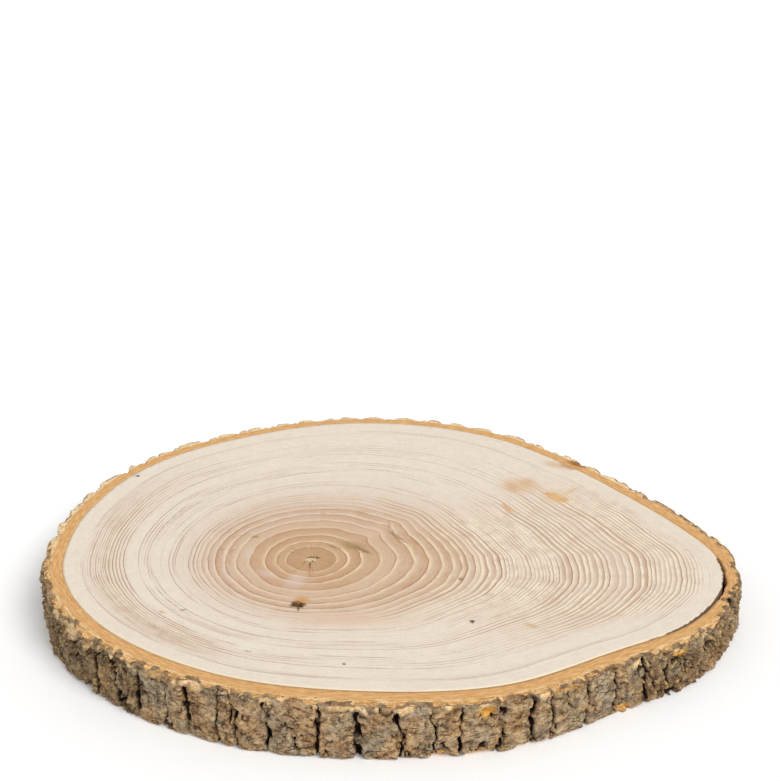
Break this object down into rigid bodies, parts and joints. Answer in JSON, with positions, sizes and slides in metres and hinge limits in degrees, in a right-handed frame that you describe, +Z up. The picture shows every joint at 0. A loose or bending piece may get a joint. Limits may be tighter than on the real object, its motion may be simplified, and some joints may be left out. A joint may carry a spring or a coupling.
{
  "type": "wood slice",
  "caption": "Round-ended, pear-shaped disc sawn across a trunk, bark left on its edge, both faces flat, to stand or show things on.",
  "frame": {"origin": "middle of the bounding box, on the underside that the slice lies on", "axes": "+X along the slice's length, towards its pointed end; +Z up, out of the upper sawn face"},
  "size_m": [0.3326, 0.2792, 0.0293],
  "materials": {
    "wood": "pale sapwood, sawn and sanded across the grain, dry and matt, with growth rings and a warmer heart",
    "bark": "rough grey-brown fissured bark, tan where the saw cut it"
  },
  "bodies": {
    "root": {"wood_disc": "wood", "bark_ring": "bark"}
  },
  "joints": []
}
